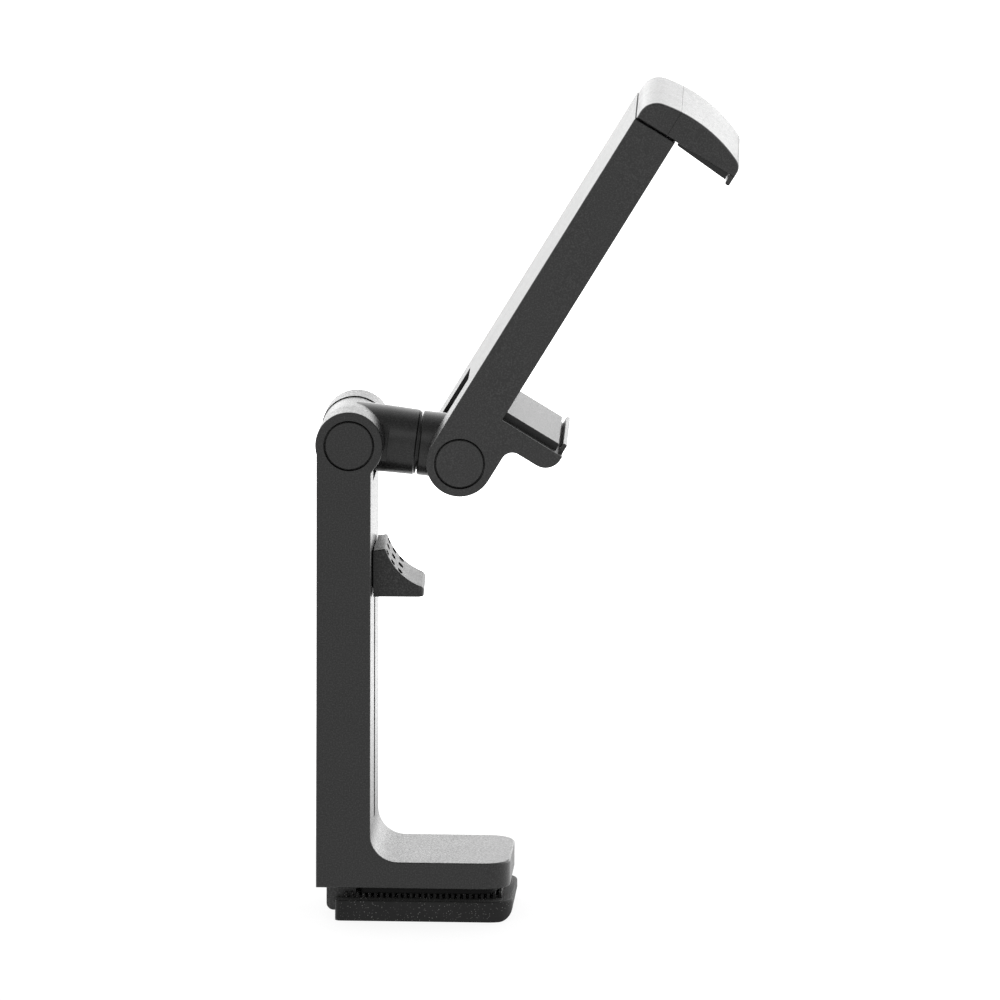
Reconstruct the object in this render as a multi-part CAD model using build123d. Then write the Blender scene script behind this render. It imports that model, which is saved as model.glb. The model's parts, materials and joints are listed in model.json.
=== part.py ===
from build123d import *
from math import cos, radians, sin
import os

# Clip-on phone holder for a tray table: an L-shaped arm whose foot clamps a table edge
# against a sprung lower jaw, a short swivelling link with a hinge at each end, and a long
# bar that grips a phone between a fixed shelf and a sprung sliding hook.
#
# Frame, mm: origin at the centre of the lower jaw's flat underside, +Z up, +X towards the
# tip of the foot, +Y across the width (the arm is symmetric about Y = 0).

# ---------------------------------------------------------------- driving dimensions
ARM_WIDTH = 28.0  # across Y
ARM_BACK = -21.0  # X of the arm's outer face
ARM_THICK = 10.6
HINGE_Z = 94.0  # height of the arm hinge above the jaw's underside
EAR_R = 6.6  # rounded top of the arm
EAR_BULGE = 0.25  # how far the ears stand out behind the arm's outer face
FOOT_BOTTOM = 6.5
FOOT_THICK = 5.22
FOOT_PAD_BOTTOM = 5.22  # just clear of the teeth when the jaw is closed
FOOT_TIP = 16.75
FOOT_INNER_R = 5.4
FOOT_CORNER_R = 5.2
EDGE_R = 0.4  # small round along the moulded outlines

LINK_LENGTH = 21.46  # between the two hinge axes
LINK_SLOPE = 6.5  # degrees that the link drops towards the phone clamp
SEAM_S = 12.65  # where the inner half of the link ends
SWIVEL_GAP = 0.45
SWIVEL_LEAN = 1.25  # degrees that the outer half leans in the swivel's play

CLAMP_WIDTH = 38.0
BAR_BACK = -6.5  # clamp frame: X out towards the phone, Z along the bar, 0 on its hinge
BAR_FRONT = 2.55
BAR_TOP = 75.2
BAR_TILT = 31.3  # degrees from upright
CLAMP_EAR_R = 6.5
SHELF_BOTTOM = 7.5
SHELF_TOP = 11.6
SHELF_TIP = 16.2
HOOK_GAP = 0.2
HOOK_THICK = 5.65
HOOK_TIP = 15.8
HOOK_SEAM = 0.5  # where the two halves of the hook meet
HOOK_TRAVEL = 30.0

JAW_THICK = 4.05
JAW_LEFT = -17.3
JAW_TIP = 17.3
JAW_TRAVEL = 45.5
TOOTH_PITCH = 1.16
TOOTH_WIDTH = 0.5
TOOTH_HEIGHT = 1.1
THUMB_BOTTOM = 63.4
THUMB_TOP = 72.9

CAP_D = 9.4
CAP_RING = 0.25  # groove around each hinge cap
CAP_DEEP = 1.5
SCREW_D = 3.0
HEAD_D = 5.6
HEAD_H = 2.4
HEAD_POCKET = 2.8
NUT_AF = 5.5
NUT_H = 2.4
SLIP = 0.3  # clearance around sliding pieces
WASHER_T = 0.3

# ---------------------------------------------------------------- worked-out places
ARM_FRONT = ARM_BACK + ARM_THICK
HINGE_X = ARM_BACK + EAR_R - EAR_BULGE
FOOT_TOP = FOOT_BOTTOM + FOOT_THICK
NECK_BOTTOM = THUMB_BOTTOM + 0.6  # neck of the thumb rest, which slides in the arm's slot
SLOT_BOTTOM = NECK_BOTTOM - JAW_TRAVEL - 0.5
SLOPE = radians(LINK_SLOPE)
SEAM_MID = SEAM_S + SWIVEL_GAP / 2
SEAM_X = HINGE_X + SEAM_MID * cos(SLOPE)
SEAM_Z = HINGE_Z - SEAM_MID * sin(SLOPE)

LINK_PLACE = Pos(HINGE_X, 0, HINGE_Z) * Rot(0, LINK_SLOPE, 0)
LEAN = Pos(SEAM_X, 0, SEAM_Z) * Rot(0, 0, SWIVEL_LEAN) * Pos(-SEAM_X, 0, -SEAM_Z)
OUTER_PLACE = LEAN * LINK_PLACE
CLAMP_PLACE = OUTER_PLACE * Pos(LINK_LENGTH, 0, 0) * Rot(0, BAR_TILT - LINK_SLOPE, 0)

ARM_GAP = 5.85  # half the space between the arm's ears
CLAMP_GAP = 7.0
INNER_HALF = 5.45  # half the width of the link's inner knuckle
OUTER_HALF = 6.6

PARTS = {}


# ---------------------------------------------------------------- helpers
def block(x0, x1, y0, y1, z0, z1):
    """A box between two corners."""
    return Pos((x0 + x1) / 2, (y0 + y1) / 2, (z0 + z1) / 2) * Box(x1 - x0, y1 - y0, z1 - z0)


def rod_x(radius, x0, x1, y=0, z=0):
    """A cylinder along X."""
    return Pos((x0 + x1) / 2, y, z) * Rot(0, 90, 0) * Cylinder(radius, x1 - x0)


def rod_y(radius, y0, y1, x=0, z=0):
    """A cylinder along Y."""
    return Pos(x, (y0 + y1) / 2, z) * Rot(90, 0, 0) * Cylinder(radius, y1 - y0)


def rod_z(radius, z0, z1, x=0, y=0):
    """A cylinder along Z."""
    return Pos(x, y, (z0 + z1) / 2) * Cylinder(radius, z1 - z0)


def slab(outline, half):
    """An XZ outline made solid from Y = -half to Y = half."""
    return extrude(Plane.XZ * outline, amount=half, both=True)


def rounded(outline, corner, radius):
    """Round the one corner of an outline that lies nearest to a point."""
    x, z = corner
    nearest = sorted(outline.vertices(), key=lambda v: abs(v.X - x) + abs(v.Y - z))[0]
    return fillet(nearest, radius)


def outline_edges(solid, half):
    """The edges that lie flat in the two side faces, at Y = half and Y = -half."""
    found = ShapeList()
    for edge in solid.edges():
        box = edge.bounding_box()
        if box.size.Y < 0.001 and abs(abs(box.min.Y) - half) < 0.001:
            found.append(edge)
    return found


def upright_edges(solid, x, half):
    """The edges parallel to Z at X = x in the side faces."""
    found = ShapeList()
    for edge in solid.edges():
        box = edge.bounding_box()
        flat = box.size.X < 0.001 and box.size.Y < 0.001
        if flat and abs(box.min.X - x) < 0.01 and abs(abs(box.min.Y) - half) < 0.01:
            found.append(edge)
    return found


def keep(name, *solids):
    """Hold the solids of one named piece for writing."""
    PARTS[name] = list(solids)


# ---------------------------------------------------------------- hinge hardware
def hinge_cuts(half):
    """What a hinge takes out of a pair of ears: cap seats, head and nut pockets, bore."""
    seat = CAP_D / 2 + CAP_RING
    floor = half - CAP_DEEP
    cuts = rod_y(SCREW_D / 2 + 0.1, -half, half)
    cuts += rod_y(seat, -half - 1, -floor) + rod_y(seat, floor, half + 1)
    cuts += rod_y(HEAD_D / 2 + 0.3, -floor - 0.1, -floor + HEAD_POCKET)
    hexagon = RegularPolygon(NUT_AF / 2 + 0.1, 6, major_radius=False)
    nut = extrude(Plane.XZ * hexagon, amount=-HEAD_POCKET - 0.1)
    return cuts + Pos(0, floor - HEAD_POCKET, 0) * nut


def hinge_pieces(name, place, half, gap, knuckle):
    """Caps, screw, nut and friction washers of one hinge, on the Y axis of its place."""
    floor = half - CAP_DEEP
    seat = floor - HEAD_POCKET
    cap = rod_y(CAP_D / 2, -half, -floor)
    cap = chamfer(cap.edges().filter_by(GeomType.CIRCLE).sort_by(Axis.Y)[0], 0.2)
    cap += rod_y(HEAD_D / 2 - 0.4, -floor, -floor + 0.3)
    keep(f"{name}_hinge_cap_front", place * cap)
    keep(f"{name}_hinge_cap_rear", place * Rot(0, 0, 180) * cap)

    shank = rod_y(SCREW_D / 2, -seat, seat + NUT_H - 0.1)
    head = rod_y(HEAD_D / 2, -seat - HEAD_H, -seat)
    head = fillet(head.edges().filter_by(GeomType.CIRCLE).sort_by(Axis.Y)[0], 0.8)
    cross = block(-1.5, 1.5, -seat - HEAD_H - 1, -seat - HEAD_H + 1.1, -0.35, 0.35)
    keep(f"{name}_hinge_screw", place * (shank + head - cross - Rot(0, 90, 0) * cross))

    nut = extrude(Plane.XZ * RegularPolygon(NUT_AF / 2, 6, major_radius=False), amount=-NUT_H)
    nut = Pos(0, seat, 0) * nut - rod_y(SCREW_D / 2 + 0.02, seat - 1, seat + NUT_H + 1)
    keep(f"{name}_hinge_nut", place * nut)

    middle = (gap + knuckle) / 2
    washers = []
    for side in (-1, 1):
        ring = rod_y(4.5, -WASHER_T / 2, WASHER_T / 2) - rod_y(SCREW_D / 2 + 0.15, -1, 1)
        washers.append(place * Pos(0, side * middle, 0) * ring)
    keep(f"{name}_hinge_washers", *washers)


# ---------------------------------------------------------------- arm
COVER_T = 1.55
CAVITY_BACK = ARM_BACK + COVER_T
CAVITY_FRONT = -13.1
CAVITY_HALF = 10.3
CAVITY_TOP = 83.6
COVER_BOTTOM = 12.0
COVER_HALF = 12.6
SLOT_HALF = 1.7
SLOT_TOP = 72.7
PIN_Z = 81.0  # steel pin that holds the upper ends of the jaw springs
JAW_SPRING_X = -16.5
JAW_SPRING_Y = 6.8


def arm_outline():
    """The arm's side view: upright, rounded top and foot."""
    upright = Polygon(
        (ARM_BACK, FOOT_BOTTOM),
        (FOOT_TIP, FOOT_BOTTOM),
        (FOOT_TIP, FOOT_TOP),
        (ARM_FRONT, FOOT_TOP),
        (ARM_FRONT, HINGE_Z - 5.4),
        (HINGE_X + EAR_R * cos(radians(-27)), HINGE_Z + EAR_R * sin(radians(-27))),
        (HINGE_X, HINGE_Z),
        (ARM_BACK, HINGE_Z),
        align=None,
    )
    outline = upright + Pos(HINGE_X, HINGE_Z) * Circle(EAR_R)
    outline = rounded(outline, (ARM_FRONT, FOOT_TOP), FOOT_INNER_R)
    return rounded(outline, (ARM_FRONT, HINGE_Z - 5.4), 1.0)


def arm_housing():
    """The moulded arm: hollow upright, two ears, solid foot."""
    half = ARM_WIDTH / 2
    body = slab(arm_outline(), half)
    body = fillet(upright_edges(body, FOOT_TIP, half), FOOT_CORNER_R)
    body = fillet(outline_edges(body, half), EDGE_R)
    body -= block(CAVITY_BACK, CAVITY_FRONT, -CAVITY_HALF, CAVITY_HALF, FOOT_BOTTOM - 1, CAVITY_TOP)
    cover = block(ARM_BACK - 1, CAVITY_BACK, -COVER_HALF, COVER_HALF, COVER_BOTTOM, CAVITY_TOP)
    body -= fillet(cover.edges().filter_by(Axis.X), 1.5)
    slot = block(CAVITY_FRONT - 1, ARM_FRONT + 1, -SLOT_HALF, SLOT_HALF, SLOT_BOTTOM, SLOT_TOP)
    body -= fillet(slot.edges().filter_by(Axis.X), 1.0)
    gap = block(ARM_BACK - 2, HINGE_X + EAR_R + 1, -ARM_GAP, ARM_GAP, HINGE_Z - 8.2, HINGE_Z + 8)
    body -= gap
    body -= Pos(HINGE_X, 0, HINGE_Z) * hinge_cuts(half)
    body -= pad_outline(-0.15, FOOT_BOTTOM - 1, FOOT_BOTTOM + 0.3)
    body -= rod_y(1.0, -CAVITY_HALF - 1.5, CAVITY_HALF + 1.5, JAW_SPRING_X, PIN_Z)
    for y, z in cover_screw_places():
        body -= rod_x(0.8, CAVITY_BACK - 0.1, CAVITY_BACK + 5, y, z)
    return body


def pad_outline(inset, z0, z1):
    """The rubber pad under the foot, rounded at its outer end."""
    left = -12.2 + inset
    right = 14.2 - inset
    half = 12.4 - inset
    pad = block(left, right, -half, half, z0, z1)
    pad = fillet(upright_edges(pad, right, half), 4.0)
    return fillet(upright_edges(pad, left, half), 0.8)


def cover_screw_places():
    """Y and Z of the four small screws that hold the arm's cover."""
    return [(y, z) for y in (-11.3, 11.3) for z in (COVER_BOTTOM + 4, CAVITY_TOP - 8)]


def arm_pieces():
    """Everything that stays still on the arm."""
    half = ARM_WIDTH / 2
    keep("arm_housing", arm_housing())

    gap = 0.12
    cover = block(
        ARM_BACK, CAVITY_BACK, -COVER_HALF + gap, COVER_HALF - gap, COVER_BOTTOM + gap, CAVITY_TOP - gap
    )
    cover = fillet(cover.edges().filter_by(Axis.X), 1.4)
    screws = []
    for y, z in cover_screw_places():
        cover -= rod_x(0.9, ARM_BACK - 1, CAVITY_BACK + 1, y, z)
        cover -= rod_x(1.15, ARM_BACK - 1, ARM_BACK + 1.0, y, z)
        screw = rod_x(0.78, ARM_BACK + 1.0, CAVITY_BACK + 4.5, y, z)
        screw += rod_x(1.05, ARM_BACK + 0.2, ARM_BACK + 1.0, y, z)
        screws.append(screw)
    keep("arm_cover", cover)
    keep("arm_cover_screws", *screws)

    pad = pad_outline(0, FOOT_PAD_BOTTOM, FOOT_BOTTOM + 0.3)
    keep("foot_pad", fillet(pad.edges().group_by(Axis.Z)[0], 0.3))
    keep("jaw_spring_pin", rod_y(0.98, -CAVITY_HALF - 1.4, CAVITY_HALF + 1.4, JAW_SPRING_X, PIN_Z))
    springs = []
    for side in (-1, 1):
        coil = rod_z(1.8, 54.6, PIN_Z - 1.2, JAW_SPRING_X, side * JAW_SPRING_Y)
        springs.append(coil - rod_z(1.4, 50, 90, JAW_SPRING_X, side * JAW_SPRING_Y))
    keep("jaw_springs", *springs)
    hinge_pieces("arm", Pos(HINGE_X, 0, HINGE_Z), half, ARM_GAP, INNER_HALF)


# ---------------------------------------------------------------- lower jaw
STEM_BACK = CAVITY_BACK + SLIP
STEM_FRONT = CAVITY_FRONT - SLIP
STEM_HALF = CAVITY_HALF - SLIP
STEM_BOTTOM = 1.3
STEM_TOP = 75.0
PLATE_HALF = 11.2
THUMB_HALF = 8.6
THUMB_BACK = ARM_FRONT + 0.25
THUMB_TIP = -0.3
THUMB_YAW = 2.0  # degrees that the thumb rest turns in the play of its slot
GRIP_FIRST = 202.5  # degrees around the hollow's arc, for the highest row of grip marks
GRIP_STEP = 11.0
GRIP_COLUMN = 6.4


def jaw_carriage():
    """The hard inner part of the jaw: a stem that slides in the arm and a flat plate."""
    stem = block(STEM_BACK, STEM_FRONT, -STEM_HALF, STEM_HALF, STEM_BOTTOM, STEM_TOP)
    corner = [e for e in stem.edges().filter_by(Axis.Y) if e.center().Z < 2 and e.center().X < -18]
    stem = fillet(corner, 1.4)
    plate = block(STEM_FRONT - 1, JAW_TIP - 2.5, -PLATE_HALF, PLATE_HALF, STEM_BOTTOM, 2.9)
    plate = fillet(upright_edges(plate, JAW_TIP - 2.5, PLATE_HALF), 3.0)
    body = stem + plate
    for side in (-1, 1):
        y = side * JAW_SPRING_Y
        body -= block(STEM_BACK - 1, STEM_FRONT - 0.8, y - 2.2, y + 2.2, 52, STEM_TOP + 1)
        body += rod_x(0.8, JAW_SPRING_X - 1.6, STEM_FRONT - 0.4, y, 53.4)
    for z in (66.0, 70.0):
        body -= rod_x(1.15, STEM_BACK - 1, STEM_FRONT + 1, 0, z)
        body -= rod_x(2.2, STEM_BACK - 1, STEM_BACK + 2.2, 0, z)
    return body


def jaw_boot():
    """The rubber boot around the plate, with a row of grip teeth on top."""
    half = ARM_WIDTH / 2
    side = Polygon((JAW_LEFT, 0), (JAW_TIP, 0), (JAW_TIP, JAW_THICK), (JAW_LEFT, JAW_THICK), align=None)
    side = rounded(side, (JAW_TIP, 0), 2.6)
    plan = block(JAW_LEFT, JAW_TIP, -half, half, 0, JAW_THICK)
    plan = fillet(upright_edges(plan, JAW_TIP, half), 4.6)
    plan = fillet(upright_edges(plan, JAW_LEFT, half), 1.2)
    boot = fillet(plan.edges().group_by(Axis.Z)[-1], 0.4) & slab(side, half)
    teeth = []
    half_teeth = half - 2.5
    x = JAW_LEFT + 2.0
    while x < JAW_TIP - 1.6:
        inset = max(0.0, x - (JAW_TIP - 1.6 - 4.2))
        reach = half_teeth - (4.2 - (4.2**2 - min(inset, 4.1) ** 2) ** 0.5)
        x0 = x - TOOTH_WIDTH / 2
        bar = block(x0, x0 + TOOTH_WIDTH, -reach, reach, JAW_THICK - 0.3, JAW_THICK + TOOTH_HEIGHT)
        teeth.append(chamfer(bar.edges().group_by(Axis.Z)[-1].filter_by(Axis.Y), 0.12))
        x += TOOTH_PITCH
    boot += teeth
    stem_room = block(JAW_LEFT - 1, STEM_FRONT, -STEM_HALF - 0.02, STEM_HALF + 0.02, STEM_BOTTOM, 9)
    plate_room = block(STEM_FRONT - 1.1, JAW_TIP - 2.5, -PLATE_HALF, PLATE_HALF, STEM_BOTTOM, 2.9)
    plate_room = fillet(upright_edges(plate_room, JAW_TIP - 2.5, PLATE_HALF), 3.0)
    return boot - stem_room - plate_room


def thumb_slider():
    """The thumb rest: a concave wedge with rows of oval grip marks and a neck in the slot."""
    back = THUMB_BACK - 1.0
    top = (-7.8, THUMB_TOP)
    nose = (-0.75, 65.45)
    wedge = make_face(
        Curve()
        + [
            Line((back, THUMB_BOTTOM), (back, THUMB_TOP - 0.5)),
            Line((back, THUMB_TOP - 0.5), top),
            ThreePointArc(top, (-5.05, 68.25), nose),
            Line(nose, (THUMB_TIP, 64.9)),
            Line((THUMB_TIP, 64.9), (THUMB_TIP, THUMB_BOTTOM)),
            Line((THUMB_TIP, THUMB_BOTTOM), (back, THUMB_BOTTOM)),
        ]
    )
    body = slab(wedge, THUMB_HALF)
    body = fillet(body.edges().filter_by(Axis.Y).group_by(Axis.Z)[-1].sort_by(Axis.X)[-1], 0.4)
    body = fillet(upright_edges(body, THUMB_TIP, THUMB_HALF), 1.4)
    body = fillet(outline_edges(body, THUMB_HALF), 0.3)
    hollow = ThreePointArc(top, (-5.05, 68.25), nose)
    centre = hollow.arc_center
    for row in range(3):
        turn = GRIP_FIRST + GRIP_STEP * row
        x = centre.X + hollow.radius * cos(radians(turn))
        z = centre.Y + hollow.radius * sin(radians(turn))
        for column in (-1, 0, 1):
            spot = Pos(x, column * GRIP_COLUMN, z)
            tilt = Rot(0, 90 - turn, 0)
            mark = extrude(SlotOverall(3.0, 1.2, rotation=90), amount=0.6, both=True)
            body -= spot * tilt * mark
    body = Pos(-0.3, 0, 0) * Rot(0, 0, THUMB_YAW) * body
    body -= block(ARM_BACK, THUMB_BACK, -12, 12, THUMB_BOTTOM - 1, THUMB_TOP + 1)
    neck = block(STEM_FRONT, THUMB_BACK + 0.5, -SLOT_HALF + SLIP, SLOT_HALF - SLIP, NECK_BOTTOM, 72.0)
    body += neck
    for z in (66.0, 70.0):
        body -= rod_x(0.85, STEM_FRONT - 1, THUMB_BACK + 2.5, 0, z)
    return body


def jaw_pieces():
    """Everything that slides with the lower jaw."""
    keep("jaw_carriage", jaw_carriage())
    keep("jaw_boot", jaw_boot())
    keep("thumb_slider", thumb_slider())
    screws = []
    for z in (66.0, 70.0):
        screw = rod_x(0.83, STEM_BACK + 2.2, THUMB_BACK + 2.3, 0, z)
        screws.append(screw + rod_x(1.9, STEM_BACK + 1.0, STEM_BACK + 2.2, 0, z))
    keep("thumb_screws", *screws)


# ---------------------------------------------------------------- swivelling link
BARREL_R = 6.55
BARREL_END_R = 6.4
OUTER_R = 6.35
COLLAR_R = 5.3  # collar that hides the swivel gap
COLLAR_REACH = 1.0
WEB_END = 16.4  # the wall that the swivel screw clamps


def link_inner():
    """Inner half of the link: knuckle between the arm's ears and a tapered barrel."""
    knuckle = rod_y(EAR_R - 0.2, -INNER_HALF, INNER_HALF)
    barrel = Pos(3.5, 0, 0) * Rot(0, 90, 0) * Cylinder(BARREL_R, 7)
    cone = Pos((7 + SEAM_S) / 2, 0, 0) * Rot(0, 90, 0) * Cone(BARREL_R, BARREL_END_R, SEAM_S - 7)
    barrel += cone
    barrel = chamfer(barrel.edges().filter_by(GeomType.CIRCLE).sort_by(Axis.X)[-1], 0.25)
    inside = block(-8, EAR_R + 0.6, -INNER_HALF, INNER_HALF, -8, 8) + block(EAR_R + 0.6, 20, -9, 9, -9, 9)
    body = knuckle + (barrel & inside)
    body += rod_x(COLLAR_R, SEAM_S - 1, SEAM_S + COLLAR_REACH)
    body -= rod_y(SCREW_D / 2 + 0.15, -10, 10)
    return body - rod_x(2.0, 5.5, SEAM_S + 2)


def link_outer():
    """Outer half of the link: short barrel and the knuckle of the phone clamp's hinge."""
    start = SEAM_S + SWIVEL_GAP
    barrel = rod_x(OUTER_R, start, LINK_LENGTH)
    barrel = chamfer(barrel.edges().filter_by(GeomType.CIRCLE).sort_by(Axis.X)[0], 0.25)
    knuckle = rod_y(CLAMP_EAR_R - 0.2, -OUTER_HALF, OUTER_HALF, LINK_LENGTH)
    knuckle = fillet(knuckle.edges().filter_by(GeomType.CIRCLE), 0.4)
    body = barrel + knuckle
    body -= rod_y(SCREW_D / 2 + 0.15, -10, 10, LINK_LENGTH)
    body -= rod_x(COLLAR_R + 0.25, start - 1, SEAM_S + COLLAR_REACH + 0.55)
    body -= rod_x(2.3, start - 1, WEB_END + 1)
    return body - rod_x(3.9, WEB_END, LINK_LENGTH + 10)


def link_pieces():
    """The two halves of the link, and the screw and washers that they turn on."""
    keep("link_inner", LINK_PLACE * link_inner())
    keep("link_outer", OUTER_PLACE * link_outer())
    washer = rod_x(6.1, SEAM_S + 0.01, SEAM_S + 0.24) - rod_x(COLLAR_R + 0.02, SEAM_S - 1, SEAM_S + 1)
    keep("swivel_washer", LINK_PLACE * washer)
    screw = rod_x(1.95, 6.0, WEB_END + 0.5) + rod_x(3.4, WEB_END + 0.5, WEB_END + 2.4)
    socket = extrude(Plane.YZ * RegularPolygon(1.25, 6), amount=2)
    screw -= Pos(WEB_END + 1.0, 0, 0) * socket
    keep("swivel_screw", LINK_PLACE * screw)
    spring = rod_x(3.3, WEB_END + 0.15, WEB_END + 0.45) - rod_x(2.1, WEB_END - 1, WEB_END + 1)
    keep("swivel_spring_washer", LINK_PLACE * spring)


# ---------------------------------------------------------------- phone clamp
CHANNEL_BACK = -4.9  # channel in the bar where the hook's carriage slides
CHANNEL_FRONT = -0.4
CHANNEL_HALF = 14.5
CHANNEL_BOTTOM = 15.6
PANEL_T = 1.4
PANEL_HALF = 13.4
PANEL_BOTTOM = 19.0
PANEL_TOP = 72.0
PIN_U = 18.6
HOOK_SPRING_X = -2.65
HOOK_SPRING_Y = 7.5
SHELF_PAD_TOP = 13.0
SHELF_PAD_HALF = 16.0


def clamp_outline():
    """Side view of the bar with its hinge ears and the shelf."""
    shape = Polygon(
        (BAR_BACK, BAR_TOP),
        (BAR_FRONT, BAR_TOP),
        (BAR_FRONT, SHELF_TOP),
        (SHELF_TIP, SHELF_TOP),
        (SHELF_TIP, SHELF_BOTTOM),
        (CLAMP_EAR_R, SHELF_BOTTOM),
        (CLAMP_EAR_R, 0),
        (BAR_BACK, 0),
        align=None,
    )
    shape += Circle(CLAMP_EAR_R)
    shape = rounded(shape, (SHELF_TIP, SHELF_BOTTOM), 3.4)
    return rounded(shape, (CLAMP_EAR_R, SHELF_BOTTOM), 2.2)


def panel_screw_places():
    """Y and Z of the four small screws in the bar's front panel."""
    return [(y, z) for y in (-11.9, 11.9) for z in (PANEL_BOTTOM + 3, PANEL_TOP - 3)]


def clamp_housing():
    """The moulded bar: hinge ears, shelf with a lip, and a channel for the sliding hook."""
    half = CLAMP_WIDTH / 2
    body = slab(clamp_outline(), half)
    body = fillet(outline_edges(body, half), EDGE_R)
    lip = block(SHELF_TIP - 1.0, SHELF_TIP - 0.15, -SHELF_PAD_HALF, SHELF_PAD_HALF, SHELF_TOP - 1, 13.6)
    body += fillet(lip.edges().group_by(Axis.Z)[-1].filter_by(Axis.Y), 0.2)
    body -= block(-9, 9, -CLAMP_GAP, CLAMP_GAP, -9, 7.2)
    wedge = Polygon((BAR_BACK - 1, 13.6), (BAR_BACK - 1, 7.0), (1.3, 7.0), (-5.9, 13.0), align=None)
    body -= slab(wedge, CLAMP_GAP)
    body -= hinge_cuts(half)
    body -= block(
        CHANNEL_BACK, CHANNEL_FRONT, -CHANNEL_HALF, CHANNEL_HALF, CHANNEL_BOTTOM, BAR_TOP + 1
    )
    seat = BAR_FRONT - PANEL_T
    recess = block(seat, BAR_FRONT + 1, -PANEL_HALF, PANEL_HALF, PANEL_BOTTOM, PANEL_TOP)
    body -= fillet(recess.edges().filter_by(Axis.X), 1.5)
    body -= block(CHANNEL_FRONT - 1, seat + 1, -10.4, 10.4, PANEL_BOTTOM + 1.5, PANEL_TOP - 1.5)
    body -= shelf_pad_solid(-0.1)
    body -= rod_y(1.0, -CHANNEL_HALF - 1.5, CHANNEL_HALF + 1.5, HOOK_SPRING_X, PIN_U)
    for y, z in panel_screw_places():
        body -= rod_x(0.8, CHANNEL_FRONT - 0.1, seat + 0.1, y, z)
    return body


def shelf_pad_solid(inset):
    """The rubber pad on the shelf, let into it a little."""
    return block(
        BAR_FRONT + 0.1 + inset,
        SHELF_TIP - 1.6 - inset,
        -SHELF_PAD_HALF + inset,
        SHELF_PAD_HALF - inset,
        SHELF_TOP - 0.5,
        SHELF_PAD_TOP,
    )


def clamp_pieces():
    """Everything that stays still on the phone clamp's bar."""
    half = CLAMP_WIDTH / 2
    keep("clamp_housing", CLAMP_PLACE * clamp_housing())

    gap = 0.12
    seat = BAR_FRONT - PANEL_T
    panel = block(
        seat, BAR_FRONT, -PANEL_HALF + gap, PANEL_HALF - gap, PANEL_BOTTOM + gap, PANEL_TOP - gap
    )
    panel = fillet(panel.edges().filter_by(Axis.X), 1.4)
    screws = []
    for y, z in panel_screw_places():
        panel -= rod_x(0.9, seat - 1, BAR_FRONT + 1, y, z)
        panel -= rod_x(1.25, BAR_FRONT - 0.8, BAR_FRONT + 1, y, z)
        screw = rod_x(0.78, CHANNEL_FRONT + 0.1, BAR_FRONT - 0.8, y, z)
        screws.append(CLAMP_PLACE * (screw + rod_x(1.15, BAR_FRONT - 0.8, BAR_FRONT - 0.2, y, z)))
    keep("clamp_panel", CLAMP_PLACE * panel)
    keep("clamp_panel_screws", *screws)

    pad = shelf_pad_solid(0)
    keep("shelf_pad", CLAMP_PLACE * fillet(pad.edges().group_by(Axis.Z)[-1], 0.25))
    pin = rod_y(0.98, -CHANNEL_HALF - 1.4, CHANNEL_HALF + 1.4, HOOK_SPRING_X, PIN_U)
    keep("clamp_spring_pin", CLAMP_PLACE * pin)
    springs = []
    for side in (-1, 1):
        y = side * HOOK_SPRING_Y
        coil = rod_z(1.8, PIN_U + 1.2, 47.0, HOOK_SPRING_X, y)
        springs.append(CLAMP_PLACE * (coil - rod_z(1.4, 10, 60, HOOK_SPRING_X, y)))
    keep("hook_springs", *springs)
    hinge_pieces("clamp", CLAMP_PLACE, half, CLAMP_GAP, OUTER_HALF)


# ---------------------------------------------------------------- sliding hook
HOOK_BOTTOM = BAR_TOP + HOOK_GAP
HOOK_TOP = HOOK_BOTTOM + HOOK_THICK
CROWN_R = 28.5
CROWN_X = 2.7
HOOK_EDGE_R = 0.7
CARRIAGE_HALF = CHANNEL_HALF - SLIP
CARRIAGE_BOTTOM = BAR_TOP - HOOK_TRAVEL - 17.8  # 17.8 stays in the channel at full reach


def hook_outline():
    """Side view of the hook: a long shallow crown between a rounded back and a rounded tip."""
    left = BAR_BACK + 0.2
    shape = Polygon(
        (left, HOOK_BOTTOM), (left, HOOK_TOP), (HOOK_TIP, HOOK_TOP), (HOOK_TIP, HOOK_BOTTOM), align=None
    )
    shape &= Pos(CROWN_X, HOOK_TOP - CROWN_R) * Circle(CROWN_R)
    shape = rounded(shape, (left, HOOK_TOP), 3.8)
    return rounded(shape, (HOOK_TIP, HOOK_TOP - 3), 2.2)


def hook_body():
    """The whole hook before it is split into its two mouldings."""
    half = CLAMP_WIDTH / 2
    body = slab(hook_outline(), half)
    body = fillet(outline_edges(body, half), HOOK_EDGE_R)
    lip = block(HOOK_TIP - 0.95, HOOK_TIP - 0.05, -half + 0.6, half - 0.6, HOOK_BOTTOM - 2.0, HOOK_BOTTOM + 1)
    return body + fillet(lip.edges().group_by(Axis.Z)[0].filter_by(Axis.Y), 0.3)


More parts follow.
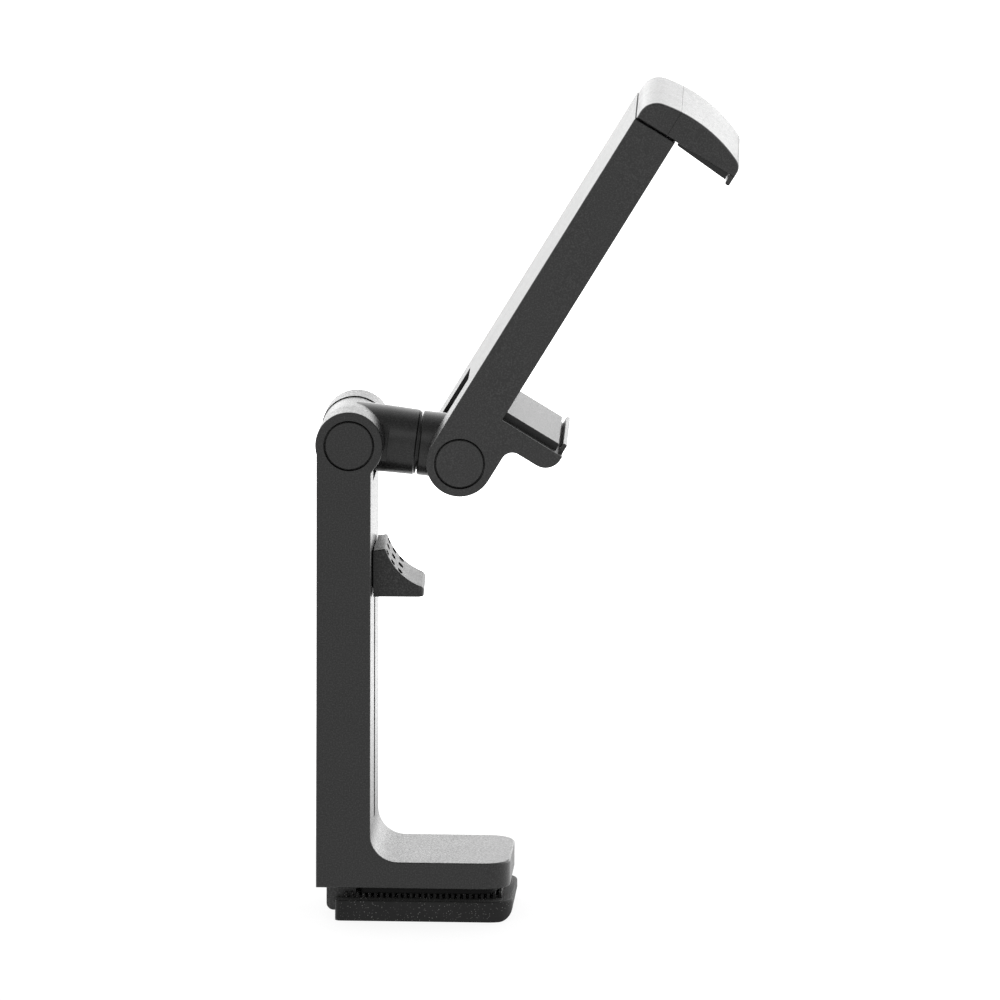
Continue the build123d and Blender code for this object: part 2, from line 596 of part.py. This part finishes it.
def hook_pieces():
    """Everything that slides with the hook."""
    half = CLAMP_WIDTH / 2
    body = hook_body()
    inner = BAR_FRONT + 0.7
    outer = HOOK_TIP - 1.35
    wedge = Polygon(
        (inner, HOOK_BOTTOM + 0.3),
        (inner, HOOK_BOTTOM - 0.5),
        (outer, HOOK_BOTTOM - 1.3),
        (outer, HOOK_BOTTOM + 0.3),
        align=None,
    )
    pad = slab(wedge, half - 1.0)
    screw_y = (-8.0, 8.0)

    cap = body & block(BAR_BACK - 1, HOOK_SEAM - 0.03, -half, half, HOOK_BOTTOM - 3, HOOK_TOP + 1)
    jaw = body & block(HOOK_SEAM + 0.03, HOOK_TIP + 1, -half, half, HOOK_BOTTOM - 3, HOOK_TOP + 1)
    jaw -= pad
    tongue = block(HOOK_SEAM - 3.0, HOOK_SEAM + 1.0, -12, 12, HOOK_BOTTOM + 1.2, HOOK_BOTTOM + 3.2)
    jaw += tongue
    cap -= block(HOOK_SEAM - 3.1, HOOK_SEAM + 1.0, -12.1, 12.1, HOOK_BOTTOM + 1.1, HOOK_BOTTOM + 3.3)

    carriage = block(
        CHANNEL_BACK + SLIP,
        CHANNEL_FRONT - SLIP,
        -CARRIAGE_HALF,
        CARRIAGE_HALF,
        CARRIAGE_BOTTOM,
        HOOK_BOTTOM,
    )
    for side in (-1, 1):
        y = side * HOOK_SPRING_Y
        carriage -= block(-9, 9, y - 2.2, y + 2.2, CARRIAGE_BOTTOM - 1, 49.0)
    carriage -= rod_y(0.8, -CARRIAGE_HALF - 1, CARRIAGE_HALF + 1, HOOK_SPRING_X, 48.2)
    carriage -= block(-9, 9, -4.0, 4.0, 52.0, 68.0)
    screws = []
    for y in screw_y:
        carriage -= rod_z(0.85, HOOK_BOTTOM - 8, HOOK_BOTTOM + 1, HOOK_SPRING_X, y)
        hole = rod_z(1.1, HOOK_BOTTOM - 1, HOOK_BOTTOM + 9, HOOK_SPRING_X, y)
        seat = rod_z(2.1, HOOK_BOTTOM + 1.6, HOOK_BOTTOM + 3.2, HOOK_SPRING_X, y)
        cap -= hole & rod_z(3, HOOK_BOTTOM - 1, HOOK_BOTTOM + 2.0, HOOK_SPRING_X, y)
        cap -= seat
        jaw -= rod_z(2.2, HOOK_BOTTOM - 1, HOOK_BOTTOM + 3.3, HOOK_SPRING_X, y) & tongue
        shank = rod_z(0.83, HOOK_BOTTOM - 7, HOOK_BOTTOM + 1.6, HOOK_SPRING_X, y)
        head = rod_z(1.9, HOOK_BOTTOM + 1.6, HOOK_BOTTOM + 3.0, HOOK_SPRING_X, y)
        screws.append(CLAMP_PLACE * (shank + head))
    keep("hook_carriage", CLAMP_PLACE * carriage)
    keep("hook_cap", CLAMP_PLACE * cap)
    keep("hook_jaw", CLAMP_PLACE * jaw)
    keep("hook_pad", CLAMP_PLACE * pad)
    keep("hook_screws", *screws)
    pin = rod_y(0.78, -CARRIAGE_HALF + 0.1, CARRIAGE_HALF - 0.1, HOOK_SPRING_X, 48.2)
    keep("hook_spring_pin", CLAMP_PLACE * pin)


# ---------------------------------------------------------------- write every piece
arm_pieces()
jaw_pieces()
link_pieces()
clamp_pieces()
hook_pieces()

os.makedirs("parts", exist_ok=True)
for name, solids in PARTS.items():
    shape = solids[0] if len(solids) == 1 else Compound(children=solids)
    export_step(shape, f"parts/{name}.step")
hinge = CLAMP_PLACE.position
print("clamp hinge at", [round(v, 3) for v in hinge])
for label, direction in (("hinge axis", (0, 1, 0)), ("bar axis", (0, 0, 1)), ("phone side", (1, 0, 0))):
    tip = (CLAMP_PLACE * Pos(*direction)).position
    print(label, [round(v, 5) for v in tip - hinge])
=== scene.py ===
import json
from math import cos, pi, radians, sin

import bpy
from mathutils import Matrix, Vector

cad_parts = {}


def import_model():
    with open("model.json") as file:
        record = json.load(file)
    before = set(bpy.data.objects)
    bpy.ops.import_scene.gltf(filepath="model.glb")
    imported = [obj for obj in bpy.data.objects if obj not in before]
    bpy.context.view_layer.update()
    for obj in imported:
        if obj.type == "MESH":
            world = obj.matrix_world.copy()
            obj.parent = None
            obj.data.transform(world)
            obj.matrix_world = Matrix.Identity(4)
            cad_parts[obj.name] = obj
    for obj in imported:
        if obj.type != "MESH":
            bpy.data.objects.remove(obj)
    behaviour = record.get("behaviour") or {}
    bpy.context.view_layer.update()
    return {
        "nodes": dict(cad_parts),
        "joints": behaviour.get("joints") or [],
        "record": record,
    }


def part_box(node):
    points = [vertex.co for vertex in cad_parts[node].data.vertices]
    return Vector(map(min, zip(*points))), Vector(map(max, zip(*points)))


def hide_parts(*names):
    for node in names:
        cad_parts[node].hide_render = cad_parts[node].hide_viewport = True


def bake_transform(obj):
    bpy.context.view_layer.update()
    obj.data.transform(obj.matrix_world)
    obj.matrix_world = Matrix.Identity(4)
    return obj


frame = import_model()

# Looks of a folding clip-on phone holder: black fine-textured mouldings, rubber pads,
# steel screws and springs, on a white floor in soft studio light. Metres throughout.

JOINT = {joint["name"]: joint for joint in frame["joints"]}
MM = 0.001
WHITE = (1.0, 1.0, 1.0, 1.0)

# ---------------------------------------------------------------- camera
CAMERA_AZIMUTH = 2.706  # degrees, to the +X side of straight on
CAMERA_ELEVATION = 10.0
CAMERA_ROLL = 0.211
CAMERA_DISTANCE = 2.1458
CAMERA_TARGET = Vector((0.01405, 0.0, 0.08129))
CAMERA_LENS = 396.0  # mm, with a sensor of 36 mm
SENSOR = 36.0
CAMERA_REACH = 100.0

# ---------------------------------------------------------------- floor
FLOOR_HALF = 12.0
FLOOR_SHADE = 0.14
FLOOR_ROUGH = 0.9
FLOOR_SHINE = 0.1
FLOOR_GLOW = 0.86  # round the object and in front of it
FLOOR_GLOW_BEHIND = 2.6
FLOOR_RISE = (0.06, 0.22)  # the Y over which the glow rises behind the object
FLOOR_GLOW_FAR = 0.46  # the share of it that is left far behind
FLOOR_FALL = (0.5, 1.3)

# ---------------------------------------------------------------- tent of light
# Strengths, and the edges between them as the Y (1 is behind) or Z (1 is overhead) of a
# direction out of the object.
TENT_FRONT = 0.84
TENT_BOX = 0.5  # what the soft box in front adds
BOX_LOW_Z = (0.28, 0.40)
BOX_HIGH_Z = (0.62, 0.74)
BOX_SIDE_Y = (-0.55, -0.30)
TENT_BEHIND_LOW = 3.0
TENT_BEHIND_HIGH = 1.45
BEHIND_Y = (-0.1, 0.45)
BEHIND_Z = (0.02, 0.22)
OVERHEAD_Z = (0.6, 0.95)
OVERHEAD_SHARE = 0.5

RANGE_SOCKETS = ("From Min", "From Max", "To Min", "To Max")
NOISE_RANGE = (0.3, 0.7)  # nearly all of a noise lies between these
CLOUD_RANGE = (0.35, 0.65)
EDGE_RANGE = (0.995, 0.90)  # cosine between an edge's rounded and its flat normal


# ---------------------------------------------------------------- node helpers
class Shader:
    """A material whose nodes are made and joined in short calls."""

    def __init__(self, name):
        self.material = bpy.data.materials.new(name)
        self.material.use_nodes = True
        self.tree = self.material.node_tree
        self.tree.nodes.clear()
        self.output = self.tree.nodes.new("ShaderNodeOutputMaterial")
        self.bsdf = self.tree.nodes.new("ShaderNodeBsdfPrincipled")
        self.join(self.bsdf.outputs["BSDF"], self.output.inputs["Surface"])
        self.place = self.node("ShaderNodeTexCoord").outputs["Object"]

    def node(self, kind, **settings):
        made = self.tree.nodes.new(kind)
        for key, value in settings.items():
            setattr(made, key, value)
        return made

    def join(self, source, target):
        self.tree.links.new(source, target)

    def feed(self, target, value):
        """Set a socket to a number or colour, or join another socket to it."""
        if isinstance(value, bpy.types.NodeSocket):
            self.join(value, target)
        else:
            target.default_value = value

    def surface(self, name, value):
        """Feed one of the surface's own sockets."""
        self.feed(self.bsdf.inputs[name], value)

    def noise(self, size, detail=3.0, rough=0.55, stretch=(1, 1, 1)):
        """Noise whose features are about size metres across."""
        scaled = self.node("ShaderNodeMapping")
        self.join(self.place, scaled.inputs["Vector"])
        scaled.inputs["Scale"].default_value = [s / size for s in stretch]
        made = self.node("ShaderNodeTexNoise")
        self.join(scaled.outputs["Vector"], made.inputs["Vector"])
        made.inputs["Scale"].default_value = 1.0
        made.inputs["Detail"].default_value = detail
        made.inputs["Roughness"].default_value = rough
        return made.outputs["Fac"]

    def cells(self, size, output="Distance"):
        """Cells about size metres across."""
        made = self.node("ShaderNodeTexVoronoi")
        self.join(self.place, made.inputs["Vector"])
        made.inputs["Scale"].default_value = 1.0 / size
        return made.outputs[output]

    def math(self, operation, a, b):
        made = self.node("ShaderNodeMath", operation=operation)
        self.feed(made.inputs[0], a)
        self.feed(made.inputs[1], b)
        return made.outputs[0]

    def span(self, value, low, high, start, end):
        """Map value from the range low..high to start..end, held at both ends."""
        made = self.node("ShaderNodeMapRange", clamp=True)
        self.feed(made.inputs["Value"], value)
        for key, number in zip(RANGE_SOCKETS, (low, high, start, end)):
            made.inputs[key].default_value = number
        return made.outputs["Result"]

    def share(self, value, low, high):
        """0 where value is below low, 1 where it is above high."""
        return self.span(value, low, high, 0.0, 1.0)

    def vary(self, noise, centre, swing):
        """centre - swing where the noise is low, centre + swing where it is high."""
        return self.span(noise, *NOISE_RANGE, centre - swing, centre + swing)

    def mix(self, share, a, b):
        """A colour between a and b."""
        made = self.node("ShaderNodeMix", data_type="RGBA")
        self.feed(made.inputs["Factor"], share)
        self.feed(made.inputs["A"], a)
        self.feed(made.inputs["B"], b)
        return made.outputs["Result"]

    def bump(self, height, depth, strength=1.0):
        """Bump of a height map that is depth metres from low to high."""
        made = self.node("ShaderNodeBump")
        made.inputs["Strength"].default_value = strength
        made.inputs["Distance"].default_value = depth
        self.join(height, made.inputs["Height"])
        return made.outputs["Normal"]

    def edges(self, radius):
        """1 on sharp or tightly rounded edges, 0 on open faces."""
        bevel = self.node("ShaderNodeBevel", samples=4)
        bevel.inputs["Radius"].default_value = radius
        flat = self.node("ShaderNodeNewGeometry").outputs["Normal"]
        dot = self.node("ShaderNodeVectorMath", operation="DOT_PRODUCT")
        self.join(bevel.outputs["Normal"], dot.inputs[0])
        self.join(flat, dot.inputs[1])
        return self.share(dot.outputs["Value"], *EDGE_RANGE)


def grey(value, warm=0.0):
    """A grey, with the share warm more red and less blue."""
    return (value * (1 + warm), value, value * (1 - warm), 1.0)


# ---------------------------------------------------------------- materials
# Sizes are of the features on the surface. Shades are shares of a material's own shade.
POLYMER_IOR = 1.5
SHINE = 0.4  # specular level of a moulding, unless it has its own

CLOUD_SIZE = 9 * MM
CLOUD_SHADES = (0.86, 1.14)
CLOUD_ROUGH = 0.01
FLOW_SIZE = 4 * MM
FLOW_STRETCH = (1.0, 1.0, 0.18)  # flow marks are long in Z
FLOW_ROUGH = 0.006
# painted glint: the grain's peaks are painted lighter, as where they catch the light, by this
# share of the base shade, over the next range of the grain noise
PAINTED_GRAIN_GLINT = 5.0
GRAIN_GLINT_TOPS = (0.46, 0.68)
GRAIN_HEIGHT = 0.7
GRAIN_ROUGH = 2300  # change of roughness per metre of grain depth
PATCH_SIZE = 1.6  # patches of roughness and pits, as shares of the grain's size
PIT_SIZE = 1.7
PIT_HEIGHT = 0.3
WORN_RADIUS = 0.22 * MM
WORN_SIZE = 1.6 * MM
WORN_SPOTS = (0.42, 0.68)
WORN_SHADE = 2.6
WORN_COVER = 0.5
WORN_POLISH = 0.1

SKIN_SIZE = 0.25 * MM
SKIN_DEPTH = 0.03 * MM
SKIN_ROUGH = 0.06
RUBBER_CLOUD_SIZE = 5 * MM
RUBBER_SHADES = (0.8, 1.25)
DUST_SIZE = 0.42 * MM
DUST_EDGE = (0.12, 0.22)
DUST_CHANCE = (0.50, 0.52)  # half of the cells hold a speck
DUST_PATCH_SIZE = 4 * MM
DUST_PATCH_EDGE = (0.42, 0.60)
DUST_THIN = 0.35  # between the patches
DUST_COLOUR = grey(0.34, 0.02)
SHEEN = 0.06
SHEEN_ROUGH = 0.4

STEEL_CLOUD_SIZE = 1.2 * MM
SCRATCH_SIZE = 0.12 * MM
SCRATCH_DEPTH = 0.01 * MM
SCRATCH_STRETCH = (1.0, 0.2, 1.0)
PATINA_SHADE = 0.72
PATINA_EDGE = (0.35, 0.7)
PATINA_ROUGH = 0.1
BRIGHT_ROUGH = -0.07

NYLON_CLOUD_SIZE = 1.5 * MM
NYLON_SKIN_SIZE = 0.3 * MM
NYLON_SKIN_DEPTH = 0.01 * MM
NYLON_DARK = (0.70, 0.68, 0.62, 1.0)
NYLON_LIGHT = (0.82, 0.81, 0.76, 1.0)
NYLON_ROUGH = (0.38, 0.5)


def moulded_plastic(name, shade, rough, grain, depth, shine=SHINE):
    """Black moulded plastic with a spark-eroded grain, painted glints on the grain's peaks,
    faint flow marks and worn edges.

    grain is the size of the grain, and depth is how deep it is.
    """
    s = Shader(name)
    fine = s.noise(grain, detail=4.0, rough=0.65)
    pits = s.cells(grain * PIT_SIZE)
    cloudy = s.noise(CLOUD_SIZE)
    flow = s.noise(FLOW_SIZE, detail=2.0, stretch=FLOW_STRETCH)
    patchy = s.noise(grain * PATCH_SIZE, detail=2.0)
    rubbed = s.share(s.noise(WORN_SIZE, detail=4.0), *WORN_SPOTS)
    worn = s.math("MULTIPLY", s.edges(WORN_RADIUS), rubbed)

    dark, light = (grey(shade * share) for share in CLOUD_SHADES)
    colour = s.mix(s.share(cloudy, *CLOUD_RANGE), dark, light)
    # painted glint on the grain's peaks
    colour = s.mix(s.share(fine, *GRAIN_GLINT_TOPS), colour, grey(shade * PAINTED_GRAIN_GLINT))
    colour = s.mix(s.math("MULTIPLY", worn, WORN_COVER), colour, grey(shade * WORN_SHADE))
    s.surface("Base Color", colour)

    roughness = s.math("ADD", s.vary(cloudy, rough, CLOUD_ROUGH), s.vary(flow, 0.0, FLOW_ROUGH))
    roughness = s.math("ADD", roughness, s.vary(patchy, 0.0, GRAIN_ROUGH * depth))
    roughness = s.math("SUBTRACT", roughness, s.math("MULTIPLY", worn, WORN_POLISH))
    s.surface("Roughness", roughness)

    grain_height = s.math("MULTIPLY", fine, GRAIN_HEIGHT)
    pit_height = s.math("MULTIPLY", pits, PIT_HEIGHT)
    s.surface("Normal", s.bump(s.math("ADD", grain_height, pit_height), depth))
    s.surface("IOR", POLYMER_IOR)
    s.surface("Specular IOR Level", shine)
    return s.material


def soft_rubber(name, shade, rough, dust, shine):
    """Matt rubber: fine skin, a little sheen, and specks of white dust that cling to it.

    dust is how much the specks cover, from 0 to 1.
    """
    s = Shader(name)
    skin = s.noise(SKIN_SIZE, detail=4.0, rough=0.6)
    cloudy = s.noise(RUBBER_CLOUD_SIZE)
    speck = s.span(s.cells(DUST_SIZE), *DUST_EDGE, 1.0, 0.0)
    rare = s.share(s.cells(DUST_SIZE, output="Color"), *DUST_CHANCE)
    patchy = s.span(s.noise(DUST_PATCH_SIZE, detail=2.0), *DUST_PATCH_EDGE, DUST_THIN, 1.0)
    lint = s.math("MULTIPLY", s.math("MULTIPLY", speck, rare), s.math("MULTIPLY", patchy, dust))

    dark, light = (grey(shade * share) for share in RUBBER_SHADES)
    colour = s.mix(s.share(cloudy, *CLOUD_RANGE), dark, light)
    s.surface("Base Color", s.mix(lint, colour, DUST_COLOUR))
    s.surface("Roughness", s.vary(skin, rough, SKIN_ROUGH))
    s.surface("Normal", s.bump(skin, SKIN_DEPTH, 0.6))
    s.surface("IOR", POLYMER_IOR)
    s.surface("Specular IOR Level", shine)
    s.surface("Sheen Weight", SHEEN)
    s.surface("Sheen Roughness", SHEEN_ROUGH)
    return s.material


def plated_steel(name, shade, rough):
    """Zinc-plated steel with turning marks and a faint dull patina."""
    s = Shader(name)
    cloudy = s.noise(STEEL_CLOUD_SIZE, detail=4.0)
    scratches = s.noise(SCRATCH_SIZE, stretch=SCRATCH_STRETCH)
    patina = grey(shade * PATINA_SHADE, 0.03)
    s.surface("Base Color", s.mix(s.share(cloudy, *PATINA_EDGE), grey(shade, 0.01), patina))
    rough_ends = (rough + BRIGHT_ROUGH, rough + PATINA_ROUGH)
    s.surface("Roughness", s.span(cloudy, *NOISE_RANGE, *rough_ends))
    s.surface("Normal", s.bump(scratches, SCRATCH_DEPTH, 0.5))
    s.surface("Metallic", 1.0)
    return s.material


def milky_nylon(name):
    """Milky nylon washers."""
    s = Shader(name)
    cloudy = s.noise(NYLON_CLOUD_SIZE)
    s.surface("Base Color", s.mix(cloudy, NYLON_DARK, NYLON_LIGHT))
    s.surface("Roughness", s.span(cloudy, *NOISE_RANGE, *NYLON_ROUGH))
    s.surface("Normal", s.bump(s.noise(NYLON_SKIN_SIZE), NYLON_SKIN_DEPTH, 0.5))
    return s.material


MATERIALS = {
    "black_plastic": moulded_plastic("grained_black_plastic", 0.006, 0.34, 0.28 * MM, 0.03 * MM),
    "link_plastic": moulded_plastic("satin_black_plastic", 0.005, 0.30, 0.30 * MM, 0.012 * MM),
    "inner_plastic": moulded_plastic("inner_plastic", 0.014, 0.46, 0.40 * MM, 0.02 * MM),
    "black_rubber": soft_rubber("pad_rubber", 0.004, 0.40, 0.0, 0.38),
    "screw_steel": plated_steel("plated_steel", 0.62, 0.30),
    "spring_steel": plated_steel("spring_wire", 0.46, 0.26),
    "nylon": milky_nylon("nylon"),
}
CLAMP_PLASTIC = moulded_plastic(
    "clamp_black_plastic", 0.0065, 0.33, 0.28 * MM, 0.018 * MM, 0.46
)
CLAMP_NODES = ("clamp", "hook")  # how the names of the phone clamp's nodes start
OWN_MATERIALS = {
    "jaw_boot": soft_rubber("jaw_rubber", 0.006, 0.62, 0.5, 0.24),
    # black rubber with painted shade: the foot pad is made darker than the other pads to stand
    # in for the shade in the gap above the jaw
    "foot_pad": soft_rubber("foot_rubber_painted_shade", 0.002, 0.6, 0.0, 0.12),
    "thumb_slider": moulded_plastic("thumb_plastic", 0.009, 0.42, 0.28 * MM, 0.02 * MM, 0.3),
}


def dress(node, material):
    """Give every face of a piece one material."""
    node.data.materials.clear()
    node.data.materials.append(material)


def dress_frame():
    """The mouldings and hardware keep their CAD shapes and get detailed materials."""
    entries = {entry["node"]: entry for entry in frame["record"]["subparts"]}
    for name, node in frame["nodes"].items():
        slot = entries[name]["material_slot"]
        if name in OWN_MATERIALS:
            dress(node, OWN_MATERIALS[name])
        elif slot == "black_plastic" and name.startswith(CLAMP_NODES):
            dress(node, CLAMP_PLASTIC)
        else:
            dress(node, MATERIALS[slot])


# ---------------------------------------------------------------- springs
WIRE_R = 0.2 * MM
WIRE_SIDES = 8
COIL_R = 1.6 * MM
COIL_PITCH = 0.46 * MM
COIL_STEPS = 14  # points in one turn
LOOP_STEPS = 16
LOOP_START = radians(-95)
LOOP_TURN = radians(265)
LOOP_LEAD = 1.2 * MM  # from an end loop to the first full turn
LEAD_REACH = 0.8  # share of it that the wire crosses on its way in to the axis

JAW_SPRING_SIDE = 6.8 * MM  # from the middle to each spring
JAW_PEG_Z = 53.4 * MM
JAW_LOOPS = (1.12 * MM, 1.3 * MM)  # radius of the low and of the high end loop
HOOK_SPRING_SIDE = 7.5 * MM
HOOK_LOOPS = (1.3 * MM, 1.1 * MM)
PAIR = (("left", -1), ("right", 1))


def sweep(name, path, radius):
    """A round wire along a list of points, closed at both ends."""
    vertices = []
    faces = []
    sides = WIRE_SIDES
    last = len(path) - 1
    normal = (path[1] - path[0]).orthogonal()
    for i, point in enumerate(path):
        tangent = (path[min(i + 1, last)] - path[max(i - 1, 0)]).normalized()
        normal = (normal - tangent * normal.dot(tangent)).normalized()
        side = tangent.cross(normal)
        for k in range(sides):
            turn = 2 * pi * k / sides
            vertices.append(point + (normal * cos(turn) + side * sin(turn)) * radius)
    for i in range(last):
        for k in range(sides):
            a = i * sides + k
            b = i * sides + (k + 1) % sides
            faces.append((a, b, b + sides, a + sides))
    faces.append(tuple(reversed(range(sides))))
    faces.append(tuple(range(last * sides, (last + 1) * sides)))
    mesh = bpy.data.meshes.new(name)
    mesh.from_pydata([tuple(v) for v in vertices], [], faces)
    mesh.polygons.foreach_set("use_smooth", [True] * len(mesh.polygons))
    made = bpy.data.objects.new(name, mesh)
    bpy.context.scene.collection.objects.link(made)
    return made


def end_loop(across, loop_radius):
    """A hook loop about the origin that starts open and ends on the spring's axis, above."""
    points = []
    for step in range(LOOP_STEPS):
        turn = LOOP_START + LOOP_TURN * step / (LOOP_STEPS - 1)
        below = Vector((0, 0, -loop_radius * cos(turn)))
        points.append(across * (loop_radius * sin(turn)) + below)
    return points


def spring_line(length, low_across, low_loop, high_across, high_loop):
    """Centreline of an extension spring along +Z, from the pin at 0 to the pin at length."""
    bottom = low_loop + LOOP_LEAD
    top = length - high_loop - LOOP_LEAD
    turns = round((top - bottom) / COIL_PITCH)
    coiled = turns * COIL_STEPS
    lead = COIL_STEPS // 2
    points = end_loop(low_across, low_loop)
    for step in range(-lead, coiled + lead + 1):
        turn = 2 * pi * step / COIL_STEPS
        inside = min(max(step / coiled, 0.0), 1.0)
        before = max(-step, 0) / lead
        after = max(step - coiled, 0) / lead
        radius = COIL_R * (1 - max(before, after) ** 2)
        z = bottom + (top - bottom) * inside + LOOP_LEAD * (after - before) * LEAD_REACH
        points.append(Vector((radius * cos(turn), radius * sin(turn), z)))
    high = [Vector((p.x, p.y, length - p.z)) for p in end_loop(high_across, high_loop)]
    return points + list(reversed(high))


def middle(node):
    """The middle of a CAD node's box."""
    low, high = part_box(node)
    return (low + high) / 2


def spring(name, low, up, across, length, loops, bodies, stands_for):
    """One coil spring from the point low along up, stretched between two bodies.

    loops gives the direction and radius of the low and then of the high end loop. bodies is not
    used.
    """
    matrix = Matrix((across, up.cross(across), up)).transposed()
    lines = spring_line(length, loops[0], loops[1], loops[2], loops[3])
    made = sweep(name, [low + matrix @ point for point in lines], WIRE_R)
    dress(made, MATERIALS["spring_steel"])
    if bodies[0] == "top":
        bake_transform(made)
    else:
        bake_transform(made)
    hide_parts(stands_for)


def springs():
    """Two extension springs pull the jaw up into the arm, and two pull the hook into the bar."""
    across = Vector((1, 0, 0))
    side = Vector((0, 1, 0))
    up = Vector((0, 0, 1))
    jaw_pin = middle("jaw_spring_pin")
    peg = Vector((jaw_pin.x, 0, JAW_PEG_Z))
    length = jaw_pin.z - JAW_PEG_Z
    loops = (side, JAW_LOOPS[0], across, JAW_LOOPS[1])
    for word, sign in PAIR:
        name = f"jaw_spring_{word}"
        low = peg + side * (sign * JAW_SPRING_SIDE)
        spring(name, low, up, across, length, loops, ("top", "arm", "jaw"), "jaw_springs")

    clamp_pin = middle("clamp_spring_pin")
    hook_pin = middle("hook_spring_pin")
    bar = Vector(JOINT["hook_slide"]["axis"]).normalized()
    hinge = Vector(JOINT["clamp_hinge"]["axis"]).normalized()
    out = hinge.cross(bar)
    length = (hook_pin - clamp_pin).length
    loops = (across, HOOK_LOOPS[0], across, HOOK_LOOPS[1])
    for word, sign in PAIR:
        name = f"hook_spring_{word}"
        low = clamp_pin + hinge * (sign * HOOK_SPRING_SIDE)
        spring(name, low, bar, out, length, loops, ("bottom", "clamp", "hook"), "hook_springs")


# ---------------------------------------------------------------- stage
def floor():
    """A plain white floor that glows a little, so that no edge of it shows."""
    s = Shader("white_floor")
    s.surface("Base Color", grey(FLOOR_SHADE))
    s.surface("Roughness", FLOOR_ROUGH)
    s.surface("Specular IOR Level", FLOOR_SHINE)
    s.surface("Emission Color", WHITE)
    along = s.node("ShaderNodeSeparateXYZ")
    s.join(s.place, along.inputs[0])
    near = s.span(along.outputs["Y"], *FLOOR_RISE, FLOOR_GLOW, FLOOR_GLOW_BEHIND)
    far = s.span(along.outputs["Y"], *FLOOR_FALL, 1.0, FLOOR_GLOW_FAR)
    s.surface("Emission Strength", s.math("MULTIPLY", near, far))
    h = FLOOR_HALF
    mesh = bpy.data.meshes.new("floor")
    mesh.from_pydata([(-h, -h, 0), (h, -h, 0), (h, h, 0), (-h, h, 0)], [], [(0, 1, 2, 3)])
    made = bpy.data.objects.new("floor", mesh)
    bpy.context.scene.collection.objects.link(made)
    dress(made, s.material)


def world():
    """A white tent: bright behind the object, a soft box high in front, darker overhead."""
    tent = bpy.data.worlds.new("tent")
    bpy.context.scene.world = tent
    tent.use_nodes = True
    tree = tent.node_tree
    tree.nodes.clear()
    output = tree.nodes.new("ShaderNodeOutputWorld")
    background = tree.nodes.new("ShaderNodeBackground")
    tree.links.new(background.outputs[0], output.inputs[0])
    direction = tree.nodes.new("ShaderNodeTexCoord").outputs["Generated"]
    parts = tree.nodes.new("ShaderNodeSeparateXYZ")
    tree.links.new(direction, parts.inputs[0])

    def ramp(axis, edge, start, end):
        """Ease from start to end as the direction's part along axis crosses the edge."""
        made = tree.nodes.new("ShaderNodeMapRange")
        made.interpolation_type = "SMOOTHSTEP"
        tree.links.new(parts.outputs[axis], made.inputs["Value"])
        for key, value in zip(RANGE_SOCKETS, (*edge, start, end)):
            made.inputs[key].default_value = value
        return made.outputs["Result"]

    def combine(operation, a, b):
        made = tree.nodes.new("ShaderNodeMath")
        made.operation = operation
        for socket, value in zip(made.inputs, (a, b)):
            if isinstance(value, float):
                socket.default_value = value
            else:
                tree.links.new(value, socket)
        return made.outputs[0]

    behind = ramp("Y", BEHIND_Y, 0.0, 1.0)
    glow = ramp("Z", BEHIND_Z, TENT_BEHIND_LOW, TENT_BEHIND_HIGH)
    overhead = ramp("Z", OVERHEAD_Z, 1.0, OVERHEAD_SHARE)
    box_low = ramp("Z", BOX_LOW_Z, 0.0, TENT_BOX)
    box_high = ramp("Z", BOX_HIGH_Z, 1.0, 0.0)
    box_front = ramp("Y", BOX_SIDE_Y, 1.0, 0.0)
    box = combine("MULTIPLY", combine("MULTIPLY", box_low, box_high), box_front)
    front = combine("ADD", box, TENT_FRONT)
    strength = combine("ADD", combine("MULTIPLY", behind, glow), front)
    tree.links.new(combine("MULTIPLY", strength, overhead), background.inputs["Strength"])
    background.inputs["Color"].default_value = WHITE


def camera():
    """A long lens a little above the object, nearly square to its side."""
    data = bpy.data.cameras.new("camera")
    data.lens = CAMERA_LENS
    data.sensor_width = SENSOR
    data.clip_end = CAMERA_REACH
    made = bpy.data.objects.new("camera", data)
    bpy.context.scene.collection.objects.link(made)
    azimuth = radians(CAMERA_AZIMUTH)
    elevation = radians(CAMERA_ELEVATION)
    level = cos(elevation)
    back = Vector((sin(azimuth) * level, -cos(azimuth) * level, sin(elevation)))
    aim = (-back).to_track_quat("-Z", "Y").to_matrix()
    turn = aim @ Matrix.Rotation(radians(CAMERA_ROLL), 3, "Z")
    place = Matrix.Translation(CAMERA_TARGET + back * CAMERA_DISTANCE)
    made.matrix_world = place @ turn.to_4x4()
    bpy.context.scene.camera = made


dress_frame()
springs()
floor()
world()
camera()
bpy.context.scene.view_settings.view_transform = "Standard"
